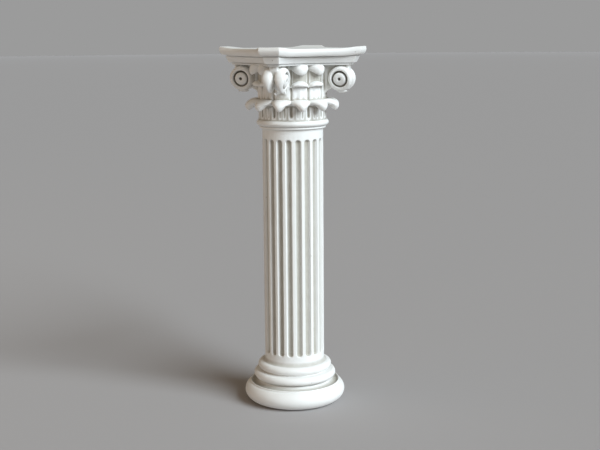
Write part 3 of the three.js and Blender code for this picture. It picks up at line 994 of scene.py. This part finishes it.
@dataclass
class Abacus:
    """Three courses with hollow sides and cut corners: a string, a band and a slab with an ovolo.

    Attributes:
        string: Reach to the cut corner, reach of the hollow side and half width of the cut corner.
        band: The same of the middle course.
        slab: The same of the top course.
        spacing: Distance between the rings up its side where it runs straight.
        bend: Rings added per radian that the side turns.
        easing: How much closer its points lie at the corners than between them, from 0 to 1.
        top_shares: Places of the rings on the flat top, as shares of its plan.
    """

    underside: float
    string: tuple[float, float, float] = (51.2, 32.2, 5.4)
    string_height: float = 1.1
    band: tuple[float, float, float] = (55.7, 35.4, 6.8)
    band_slope: float = 2.4
    band_height: float = 4.4
    slab: tuple[float, float, float] = (60.7, 41.8, 8.5)
    slab_ovolo: float = 2.9
    slab_height: float = 6.2
    quirk_height: float = 0.85
    quirk_depth: float = 1.9
    corner_lift: float = 1.5
    lift_start: float = 47.0
    softness: float = 0.22
    spacing: float = 2.6
    bend: float = 3.3
    easing: float = 0.75
    side_steps: int = 40
    cut_steps: int = 10
    top_shares: tuple[float, ...] = (0.985, 0.96, 0.93, 0.89, 0.85, 0.8, 0.74, 0.6, 0.3)

    def plan(self, course: tuple[float, float, float], inset: float) -> np.ndarray:
        """Plan of a course moved inwards: four circular arcs joined by the cut corners.

        Args:
            course: Reach to the cut corner, reach of the hollow side and half width of the cut.
            inset: Distance that the plan is moved inwards.

        Returns:
            Rows of x and y, closely spaced at the corners, with the corners softened.
        """
        corner, side = course[0] - inset, course[1] - inset
        cut = course[2] - inset * math.tan(math.radians(22.5))
        across, along = (corner - cut) / math.sqrt(2), (corner + cut) / math.sqrt(2)
        sagitta = along - side
        curve = (across**2 + sagitta**2) / (2 * sagitta)
        sweep = math.asin(across / curve)
        t = np.linspace(-sweep, sweep, 400)
        arc_points = np.stack([side + curve * (1 - np.cos(t)), curve * np.sin(t)], axis=1)
        quarter = np.array([[0.0, -1.0], [1.0, 0.0]])
        sides = [arc_points @ np.linalg.matrix_power(quarter, k).T for k in range(4)]
        return self.softened_loop(np.concatenate(sides), 4)

    def softened_loop(self, loop: np.ndarray, corners: int) -> np.ndarray:
        """A closed plan smoothed by a Gaussian along its length and sampled anew.

        Args:
            loop: The plan's points, one equal stretch for each side and cut.
            corners: Number of sides.

        Returns:
            side_steps points along each hollow side and cut_steps across each cut corner.
        """
        closed = np.concatenate([loop, loop[:1]])
        along = path_length(closed)
        count = int(along[-1] / FINE_STEP)
        even = np.linspace(0.0, along[-1], count, endpoint=False)
        line = np.stack([np.interp(even, along, column) for column in closed.T], axis=1)
        waves = np.fft.fftfreq(count, d=along[-1] / count)
        damp = np.exp(-2 * (math.pi * waves * self.softness) ** 2)[:, None]
        smooth = np.fft.ifft(np.fft.fft(line, axis=0) * damp, axis=0).real
        side_length = along[len(loop) // corners - 1]
        cut_length = along[-1] / corners - side_length
        quarter = np.concatenate([
            self.eased(self.side_steps) * side_length,
            side_length + self.eased(self.cut_steps) * cut_length,
        ])
        wanted = np.concatenate([k * along[-1] / corners + quarter for k in range(corners)])
        around = np.concatenate([smooth, smooth[:1]])
        at = np.concatenate([even, along[-1:]])
        return np.stack([np.interp(wanted, at, column) for column in around.T], axis=1)

    def eased(self, steps: int) -> np.ndarray:
        """Places from 0 to 1, closer together at both ends: t blended with (1 - cos(pi t)) / 2."""
        t = np.linspace(0.0, 1.0, steps, endpoint=False)
        return lerp(t, 0.5 - 0.5 * np.cos(math.pi * t), self.easing)

    def lift(self, plan: np.ndarray) -> np.ndarray:
        """How far the slab's corners are lifted at each point of a plan."""
        reach = np.linalg.norm(plan, axis=1)
        return self.corner_lift * smoothstep(reach, self.lift_start, self.slab[0])

    def shell(self) -> Shell:
        """The closed surface: plans stacked at their heights, softened up the side, and a flat top.

        A level is a course, how far it is moved in, its height, and its share of the lift. The
        ovolo under the slab is laid in shares of its own size.
        """
        string_top = self.underside + self.string_height
        band_z = string_top + self.quirk_height
        slab_z = band_z + self.band_height + self.quirk_height
        top = slab_z + self.slab_height
        edge = 0.1 * self.slab_ovolo
        levels = [
            (self.string, self.quirk_depth / 2, self.underside, 0.0),
            (self.string, 0.0, string_top, 0.0),
            (self.string, self.quirk_depth, (string_top + band_z) / 2, 0.0),
            (self.band, self.band_slope, band_z, 0.0),
            (self.band, 0.0, band_z + self.band_height, 0.6),
            (self.band, self.quirk_depth, slab_z, 0.8),
            (self.slab, self.slab_ovolo, slab_z, 0.8),
            (self.slab, 0.62 * self.slab_ovolo, slab_z + 0.12 * self.slab_ovolo, 0.81),
            (self.slab, 0.3 * self.slab_ovolo, slab_z + 0.5 * self.slab_ovolo, 0.84),
            (self.slab, 0.08 * self.slab_ovolo, slab_z + 0.95 * self.slab_ovolo, 0.87),
            (self.slab, 0.0, slab_z + 0.6 * self.slab_height, 0.9),
            (self.slab, edge, top - 0.3, 0.97),
            (self.slab, edge + 0.3, top, 1.0),
        ]
        rings = []
        for course, inset, height, lifted in levels:
            plan = self.plan(course, inset)
            rings.append(np.column_stack([plan, height + lifted * self.lift(plan)]))
        rim = rings[-1][:, :2]
        for share in self.top_shares:
            rings.append(np.column_stack([rim * share, top + self.lift(rim * share)]))
        grid = np.stack([rings[0] * [0.6, 0.6, 1.0], *rings])
        count = grid.shape[1]
        scaled = grid.reshape(len(grid), -1) / math.sqrt(count)
        flat = softened_profile(scaled, self.softness, self.spacing, self.bend)
        return Shell.drum((flat * math.sqrt(count)).reshape(-1, count, 3)).outwards()


class Value:
    """A number that varies over a surface, with the operators that add Math nodes."""

    def __init__(self, graph: Graph, socket: bpy.types.NodeSocket) -> None:
        """Keep the socket and the graph that it belongs to."""
        self.graph = graph
        self.socket = socket

    def math(self, operation: str, *others: Value | float) -> Value:
        """A Math node of this value and others.

        Args:
            operation: The node's operation.
            others: Its further inputs.

        Returns:
            The node's result.
        """
        inputs = dict(enumerate((self, *others)))
        return self.graph.value("ShaderNodeMath", {"operation": operation}, inputs)

    def __add__(self, other: Value | float) -> Value:
        """Sum."""
        return self.math("ADD", other)

    __radd__ = __add__

    def __mul__(self, other: Value | float) -> Value:
        """Product."""
        return self.math("MULTIPLY", other)

    __rmul__ = __mul__

    def __sub__(self, other: Value | float) -> Value:
        """Difference."""
        return self.math("SUBTRACT", other)

    def __rsub__(self, other: float) -> Value:
        """Difference from a number: other - self."""
        return self * -1.0 + other

    def __truediv__(self, other: Value | float) -> Value:
        """Quotient."""
        return self.math("DIVIDE", other)

    def __rtruediv__(self, other: float) -> Value:
        """A number divided by this value."""
        return self.math("POWER", -1.0) * other

    def __pow__(self, other: Value | float) -> Value:
        """Power."""
        return self.math("POWER", other)

    def step(self, low: float, high: float) -> Value:
        """Smooth rise from 0 at low to 1 at high."""
        settings = {"interpolation_type": "SMOOTHSTEP"}
        inputs = {"Value": self, "From Min": low, "From Max": high}
        return self.graph.value("ShaderNodeMapRange", settings, inputs)


class Graph:
    """The node tree of a material."""

    def __init__(self, name: str) -> None:
        """Make the material with a Principled shader on its output."""
        self.material = bpy.data.materials.new(name)
        self.material.use_nodes = True
        self.tree = self.material.node_tree
        self.tree.nodes.clear()
        self.shader = self.add("ShaderNodeBsdfPrincipled", {}, {})
        self.add("ShaderNodeOutputMaterial", {}, {"Surface": self.shader.outputs["BSDF"]})

    def add(self, kind: str, settings: dict[str, object],
            inputs: dict[str | int, object]) -> bpy.types.Node:
        """Add a node.

        Args:
            kind: The node's type.
            settings: Its own properties, which are set first.
            inputs: What goes into its sockets, a number, a colour, a socket or a Value.

        Returns:
            The node.
        """
        node = self.tree.nodes.new(kind)
        for key, setting in settings.items():
            setattr(node, key, setting)
        for key, given in inputs.items():
            self.feed(node.inputs[key], given)
        return node

    def shade(self, inputs: dict[str, object]) -> None:
        """Feed the inputs of the Principled shader."""
        for key, given in inputs.items():
            self.feed(self.shader.inputs[key], given)

    def feed(self, socket: bpy.types.NodeSocket, given: object) -> None:
        """Link a socket, or set its own value where a constant is given."""
        source = given.socket if isinstance(given, Value) else given
        if isinstance(source, bpy.types.NodeSocket):
            self.tree.links.new(source, socket)
        else:
            socket.default_value = source

    def value(self, kind: str, settings: dict[str, object], inputs: dict[str | int, object],
              output: str | int = 0) -> Value:
        """Add a node and wrap one of its outputs."""
        return Value(self, self.add(kind, settings, inputs).outputs[output])

    def attribute(self, name: str) -> Value:
        """A number stored on the mesh's vertices."""
        return self.value("ShaderNodeAttribute", {"attribute_name": name}, {}, "Fac")

    def place(self) -> bpy.types.NodeSocket:
        """Object coordinates, in metres."""
        return self.add("ShaderNodeTexCoord", {}, {}).outputs["Object"]

    def noise(self, size: float, detail: float, roughness: float = 0.5) -> Value:
        """Noise of a feature size in metres, about 0 to 1."""
        inputs = {"Vector": self.place(), "Scale": 1.0 / size, "Detail": detail, "Roughness": roughness}
        return self.value("ShaderNodeTexNoise", {}, inputs, "Fac")

    def cells(self, size: float) -> Value:
        """Distance to the nearest of points scattered a size in metres apart, in that size."""
        inputs = {"Vector": self.place(), "Scale": 1.0 / size}
        return self.value("ShaderNodeTexVoronoi", {}, inputs, "Distance")

    def mix(self, first: object, second: object, share: Value | float) -> bpy.types.NodeSocket:
        """Mix of two colours by a share."""
        node = self.add("ShaderNodeMix", {"data_type": "RGBA"}, {0: share, 6: first, 7: second})
        return node.outputs[2]


Colour = tuple[float, float, float, float]


@dataclass(frozen=True)
class CastPlaster:
    """Matt cast plaster: white and faintly cloudy, with painted shade in its recesses, creases and fine pits, and
    painted dark shade in the grooves and eyes of the volutes.

    Sizes are metres. Ranges are where a smooth rise starts and ends, in shares of a spacing or of
    the noise. The tints are how much of its colour each part takes.
    """

    body: Colour = (0.85, 0.855, 0.845, 1.0)
    cloud: Colour = (0.81, 0.805, 0.785, 1.0)
    # Colour of the painted shade in recesses, creases and pits.
    recess: Colour = (0.40, 0.375, 0.32, 1.0)
    # Paler colour laid on proud edges.
    paler_edge: Colour = (0.88, 0.87, 0.845, 1.0)
    # Colour of the painted dark shade in the volutes' ring grooves and drilled eyes.
    groove_shade: Colour = (0.10, 0.085, 0.06, 1.0)
    recess_attribute: str = "recess"
    crease_attribute: str = "crease"
    edge_attribute: str = "edge"
    groove_shade_attribute: str = "groove_shade"
    cloud_size: float = 0.022
    grain_size: float = 0.0011
    pit_spacing: float = 0.013
    cloud_range: tuple[float, float] = (0.42, 0.68)
    pit_range: tuple[float, float] = (0.02, 0.055)
    pore_range: tuple[float, float] = (0.05, 0.16)
    cloud_tint: float = 0.5
    edge_tint: float = 0.6
    recess_shade_tint: float = 0.75
    crease_shade_tint: float = 0.5
    pit_shade_tint: float = 0.55
    groove_shade_tint: float = 0.68
    bump_depth: float = 0.00022

    def material(self) -> bpy.types.Material:
        """The material: colour from clouds and edges, with painted shade in recesses, creases, pits and the
        volutes' grooves and eyes; grain and pits in the bump.
        """
        graph = Graph("cast_plaster")
        recess, crease, edge, groove_shade = (graph.attribute(name) for name in (
            self.recess_attribute, self.crease_attribute, self.edge_attribute, self.groove_shade_attribute))
        clouds = graph.noise(self.cloud_size, 3.0).step(*self.cloud_range)
        patchy = 0.65 + 0.5 * graph.noise(self.cloud_size / 4, 2.0)
        pits = 1.0 - graph.cells(self.pit_spacing).step(*self.pit_range)
        pores = 1.0 - graph.cells(self.pit_spacing / 5).step(*self.pore_range)
        colour = self.body
        for tint, share in (
            (self.cloud, clouds * self.cloud_tint),
            # Proud edges are made paler.
            (self.paler_edge, edge * self.edge_tint),
            # Painted shade: recesses and creases are darkened where shade falls.
            (self.recess, (recess * patchy * self.recess_shade_tint).step(0.0, 1.0)),
            (self.recess, crease * self.crease_shade_tint),
            # Painted shade in the pits, in the recess shade colour; the pits are also sunk in the bump.
            (self.recess, pits * self.pit_shade_tint),
            # Painted shade: near-black in the volutes' ring grooves and drilled eyes.
            (self.groove_shade, groove_shade * self.groove_shade_tint),
        ):
            colour = graph.mix(colour, tint, share)
        grain = graph.noise(self.grain_size, 3.0, 0.6)
        coarse = graph.noise(self.grain_size * 6, 2.0)
        height = grain * 0.35 + coarse * 0.65 - pits * 2.2 - pores * 0.35
        inputs = {"Strength": 0.5, "Distance": self.bump_depth, "Height": height}
        bump = graph.add("ShaderNodeBump", {}, inputs)
        graph.shade({
            "Base Color": colour, "Roughness": 0.58 + 0.14 * clouds + 0.12 * recess,
            "Normal": bump.outputs["Normal"], "Specular IOR Level": 0.42,
        })
        return graph.material


@dataclass(frozen=True)
class PlainFinish:
    """A matt finish without shine, in one colour or glowing in its own.

    Attributes:
        name: What the material is called.
        colour: Colour of the surface.
        glow: Colour of the light that it gives off.
        glow_strength: How much of that light, 0 for none.
    """

    name: str
    colour: Colour
    glow: Colour = (1.0, 1.0, 1.0, 1.0)
    glow_strength: float = 0.0

    def material(self) -> bpy.types.Material:
        """The material."""
        graph = Graph(self.name)
        graph.shade({
            "Base Color": self.colour, "Roughness": 1.0, "Specular IOR Level": 0.0,
            "Emission Color": self.glow, "Emission Strength": self.glow_strength,
        })
        return graph.material


MATT_PAPER = PlainFinish("matt_paper", (0.441, 0.422, 0.421, 1.0))
LIT_CLOTH = PlainFinish("lit_cloth", (0.0, 0.0, 0.0, 1.0), (0.3278, 0.3278, 0.3278, 1.0), 1.0)


@dataclass
class CastColumn:
    """The whole casting as one piece.

    Attributes:
        unevenness: Height of the smooth unevenness of the surface.
        broad_lumps: Share, mean wave length and seed of its broad part.
        small_lumps: The same of its small part.
        sharp_angle: Degrees between two faces above which the edge between them is sharp.
        passes: How often a point moves towards its neighbours for the recesses and edges.
        near_passes: The same for the creases.
        pull: Share of the way that it moves each time.
        recess_range: Hollowness at which the painted shade of recesses starts and is full; the same
            for the edge tint and for the painted shade of creases.
        untinted_top: Heights between which the painted shade of recesses and creases fades out.
        true_foot: Heights between which the unevenness fades in; it fades out between those of
            true_top, and between the distances from the axis of true_corner.
    """

    body: TurnedBody = field(default_factory=TurnedBody)
    finish: CastPlaster = field(default_factory=CastPlaster)
    volutes: CornerVolutes = field(default_factory=CornerVolutes)
    bell_height: float = 44.2
    unevenness: float = 0.09
    broad_lumps: tuple[float, float, int] = (0.6, 14.0, 11)
    small_lumps: tuple[float, float, int] = (0.4, 4.5, 12)
    sharp_angle: float = 38.0
    passes: int = 60
    near_passes: int = 10
    pull: float = 0.6
    recess_range: tuple[float, float] = (0.04, 0.8)
    edge_range: tuple[float, float] = (0.05, 0.8)
    crease_range: tuple[float, float] = (0.03, 0.2)
    untinted_top: tuple[float, float] = (297.0, 298.2)
    true_foot: tuple[float, float] = (1.0, 6.0)
    true_top: tuple[float, float] = (297.0, 299.0)
    true_corner: tuple[float, float] = (55.0, 58.5)

    def united(self, body: bpy.types.Mesh, others: list[bpy.types.Mesh]) -> bpy.types.Mesh:
        """The union of the turned body with the capital and the abacus."""
        helper = new_object("column_union", body)
        cutters = [new_object(f"column_part_{i}", mesh) for i, mesh in enumerate(others)]
        for cutter in cutters:
            union = helper.modifiers.new("union", "BOOLEAN")
            union.operation = "UNION"
            union.solver = "MANIFOLD"
            union.object = cutter
        made = finished_mesh(helper)
        for cutter in cutters:
            drop(cutter)
        return made

    def weather(self, mesh: bpy.types.Mesh) -> None:
        """Make the surface slightly uneven, and store how hollow or proud each point lies.

        A point is compared with the mean of its neighbours, taken again and again: the distance
        along the normal is positive in a recess and negative on an edge.

        Args:
            mesh: The fused mesh, in millimetres.
        """
        count = len(mesh.vertices)
        points = read_values(mesh.vertices, "co", np.float32, 3).astype(float)
        normals = read_values(mesh.vertex_normals, "vector", np.float32, 3).astype(float)
        ends = read_values(mesh.edges, "vertices", np.int32, 2)
        a, b = ends.T
        weight = 1.0 / np.maximum(np.linalg.norm(points[a] - points[b], axis=1), 0.05)
        total = np.bincount(a, weight, count) + np.bincount(b, weight, count)
        mean = points.copy()
        for turn in range(self.passes):
            if turn == self.near_passes:
                near = mean
            spread = [
                np.bincount(a, weight * mean[b, k], count) + np.bincount(b, weight * mean[a, k], count)
                for k in range(3)
            ]
            moved = np.stack(spread, axis=1) / np.maximum(total, 1e-9)[:, None]
            mean = (1.0 - self.pull) * mean + self.pull * moved
        hollow, crease = (np.einsum("ij,ij->i", far - points, normals) for far in (mean, near))
        # The recess and crease values set painted shade in hollows, faded out towards the abacus top.
        tinted = 1.0 - smoothstep(points[:, 2], *self.untinted_top)
        stored = {
            self.finish.recess_attribute: smoothstep(hollow, *self.recess_range) * tinted,
            self.finish.edge_attribute: smoothstep(-hollow, *self.edge_range),
            self.finish.crease_attribute: smoothstep(crease, *self.crease_range) * tinted,
            # Painted dark shade in the volutes' ring grooves and drilled eyes.
            self.finish.groove_shade_attribute: self.volutes.groove_shade(points),
        }
        for name, amount in stored.items():
            layer = mesh.attributes.new(name, "FLOAT", "POINT")
            layer.data.foreach_set("value", amount.astype(np.float32))
        free = smoothstep(points[:, 2], *self.true_foot)
        free *= 1.0 - smoothstep(points[:, 2], *self.true_top)
        free *= 1.0 - smoothstep(np.linalg.norm(points[:, :2], axis=1), *self.true_corner)
        uneven = sum(share * lumps(points, size, seed)
                     for share, size, seed in (self.broad_lumps, self.small_lumps))
        points += normals * (self.unevenness * free * uneven)[:, None]
        mesh.vertices.foreach_set("co", (points * METRE).astype(np.float32).ravel())
        mesh.update()

    def build(self) -> bpy.types.Object:
        """Make the casting, dress it and put it in the column's place on the frame."""
        capital = Capital(self.body.top).mesh()
        abacus = Abacus(self.body.top + self.bell_height).shell().to_mesh("abacus")
        turned = self.body.shell().to_mesh("turned_body")
        log.info("turned body: %d faces; abacus: %d faces", len(turned.polygons), len(abacus.polygons))
        mesh = self.united(turned, [capital, abacus])
        self.weather(mesh)
        mesh.name = "cast_column"
        mesh.materials.clear()
        mesh.materials.append(self.finish.material())
        mesh.polygons.foreach_set("use_smooth", np.ones(len(mesh.polygons), bool))
        mesh.polygons.foreach_set("material_index", np.zeros(len(mesh.polygons), np.int32))
        mesh.set_sharp_from_angle(angle=math.radians(self.sharp_angle))
        mesh.update()
        column = new_object("cast_column", mesh)
        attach(column, "root")
        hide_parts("column")
        triangles = sum(len(polygon.vertices) - 2 for polygon in mesh.polygons)
        log.info("cast_column: %d points, %d triangles", len(mesh.vertices), triangles)
        return column


@dataclass
class Stage:
    """A wide round floor of paper with a low ring of cloth at its far edge.

    Attributes:
        radius: Radius of the floor in metres.
        rise: Height of the cloth in metres.
        hub: Radius of the point in which the floor is closed.
        paper: Finish of the floor: plain pale paper.
        cloth: Finish of the ring: evenly lit grey cloth, as bright as the paper looks.
    """

    radius: float = 14.0
    rise: float = 2.2
    steps: int = 96
    hub: float = 0.0001
    paper: PlainFinish = MATT_PAPER
    cloth: PlainFinish = LIT_CLOTH

    def ring(self, radius: float, height: float) -> np.ndarray:
        """Points round the axis at one radius and height."""
        azimuth = np.arange(self.steps) * 360.0 / self.steps
        return about_axis(np.float64(radius), np.float64(height), azimuth)

    def band(self, name: str, inner: np.ndarray, outer: np.ndarray,
             material: bpy.types.Material) -> bpy.types.Object:
        """A surface between two rings, put on the stage.

        Args:
            name: What the object is called.
            inner: Ring that its faces start from.
            outer: Ring that they end at.
            material: What it is made of.

        Returns:
            The object.
        """
        i = np.arange(self.steps)
        j = (i + 1) % self.steps
        quads = np.stack([i, i + self.steps, j + self.steps, j], axis=1)
        mesh = Shell(np.concatenate([inner, outer]), quads).to_mesh(name)
        mesh.materials.append(material)
        made = new_object(name, mesh)
        return made

    def build(self) -> list[bpy.types.Object]:
        """The floor, closed up to a point in its middle, and the cloth, which faces the column."""
        edge = self.ring(self.radius, 0.0)
        return [
            self.band("floor", self.ring(self.hub, 0.0), edge, self.paper.material()),
            self.band("backdrop", edge, self.ring(self.radius, self.rise), self.cloth.material()),
        ]


@dataclass
class Lamp:
    """A lamp that faces the column: a wide far window, or a large soft lamp near it.

    Attributes:
        name: What it is called.
        azimuth: Degrees to the right of the camera, seen from above.
        elevation: Degrees above the floor.
        strength: Watts to the square metre of a window, or watts of a soft lamp.
        colour: Red, green and blue.
        spread: Degrees that a window is wide, or 0 for a soft lamp.
        size: Width and height of a soft lamp in metres.
        distance: Metres from the column's middle.
    """

    name: str
    azimuth: float
    elevation: float
    strength: float
    colour: tuple[float, float, float]
    spread: float = 0.0
    size: tuple[float, float] = (1.6, 1.2)
    distance: float = 1.8

    def build(self, camera_azimuth: float, target: Vector) -> bpy.types.Object:
        """The lamp, off the target along (sin a cos e, -cos a cos e, sin e) and looking back at it.

        Args:
            camera_azimuth: Degrees that the camera stands round from -Y.
            target: Middle of the column.

        Returns:
            The lamp object.
        """
        data = bpy.data.lights.new(self.name, "SUN" if self.spread else "AREA")
        data.energy, data.color = self.strength, self.colour
        if self.spread:
            data.angle = math.radians(self.spread)
        else:
            data.shape = "RECTANGLE"
            data.size, data.size_y = self.size
        a, e = math.radians(camera_azimuth + self.azimuth), math.radians(self.elevation)
        back = Vector((math.sin(a) * math.cos(e), -math.cos(a) * math.cos(e), math.sin(e)))
        facing = (-back).to_track_quat("-Z", "Y").to_matrix().to_4x4()
        lamp = new_object(self.name, data)
        lamp.matrix_world = Matrix.Translation(target + back * self.distance) @ facing
        return lamp


@dataclass
class PhotoCamera:
    """Camera at the photograph's viewing angle, for a picture of 600 by 450.

    Attributes:
        azimuth: Degrees that it stands round from -Y.
        distance: Metres from the column's axis.
        height: Metres above the floor.
        pitch: Degrees that it looks down.
        yaw: Degrees that it looks to the right of the axis.
        roll: Degrees that it leans clockwise.
    """

    azimuth: float = -27.67
    distance: float = 0.91233
    height: float = 0.31339
    pitch: float = 10.0741
    yaw: float = 0.342
    roll: float = 0.45
    lens: float = 66.0
    sensor: float = 36.0

    def build(self) -> bpy.types.Object:
        """The camera, made the scene's own."""
        data = bpy.data.cameras.new("photo_camera")
        data.sensor_width, data.lens = self.sensor, self.lens
        data.clip_start, data.clip_end = 0.05, 30.0
        pitch, yaw, roll = (math.radians(angle) for angle in (self.pitch, self.yaw, self.roll))
        ahead = Vector((math.sin(yaw) * math.cos(pitch), math.cos(yaw) * math.cos(pitch), -math.sin(pitch)))
        right = Vector((math.cos(yaw), -math.sin(yaw), 0.0))
        up = right.cross(ahead)
        rolled_right = math.cos(roll) * right - math.sin(roll) * up
        rolled_up = math.sin(roll) * right + math.cos(roll) * up
        facing = Matrix((rolled_right, rolled_up, -ahead)).transposed().to_4x4()
        stand = Matrix.Translation(Vector((0.0, -self.distance, self.height)))
        camera = new_object("photo_camera", data)
        camera.matrix_world = Matrix.Rotation(math.radians(self.azimuth), 4, "Z") @ stand @ facing
        bpy.context.scene.camera = camera
        return camera


@dataclass
class Studio:
    """Camera, stage and soft light.

    The light is a far window to the front right, the room in front, and a warm return at the left.
    """

    camera: PhotoCamera = field(default_factory=PhotoCamera)
    stage: Stage = field(default_factory=Stage)
    lamps: tuple[Lamp, ...] = (
        Lamp("far_window", 49.0, 32.0, 3.55, (0.89, 1.0, 1.07), spread=37.0),
        Lamp("room_front", 6.0, 14.0, 0.42, (1.0, 0.88, 0.76), spread=60.0),
        Lamp("warm_return", -80.0, 7.0, 4.2, (1.0, 0.66, 0.36)),
    )
    surround: tuple[float, float, float] = (0.165, 0.135, 0.10)
    middle: tuple[float, float, float] = (0.0, 0.0, 0.14)

    def build(self) -> None:
        """Set up the whole studio and the plain look of the picture."""
        scene = bpy.context.scene
        camera = self.camera.build()
        parts = self.stage.build()
        world = bpy.data.worlds.new("studio")
        world.use_nodes = True
        background = world.node_tree.nodes["Background"]
        background.inputs["Color"].default_value = (*self.surround, 1.0)
        background.inputs["Strength"].default_value = 1.0
        scene.world = world
        for lamp in self.lamps:
            lamp.build(self.camera.azimuth, Vector(self.middle))
        scene.view_settings.view_transform = "Standard"
        scene.view_settings.look = "None"
        log.info("studio: %s, %d stage parts, %d lamps", camera.name, len(parts), len(self.lamps))


def main() -> None:
    """Build the column, then the studio round it."""
    logging.basicConfig(level=logging.INFO, format="%(name)s: %(message)s")
    CastColumn().build()
    Studio().build()
    bpy.context.view_layer.update()


if __name__ == "__main__":
    main()
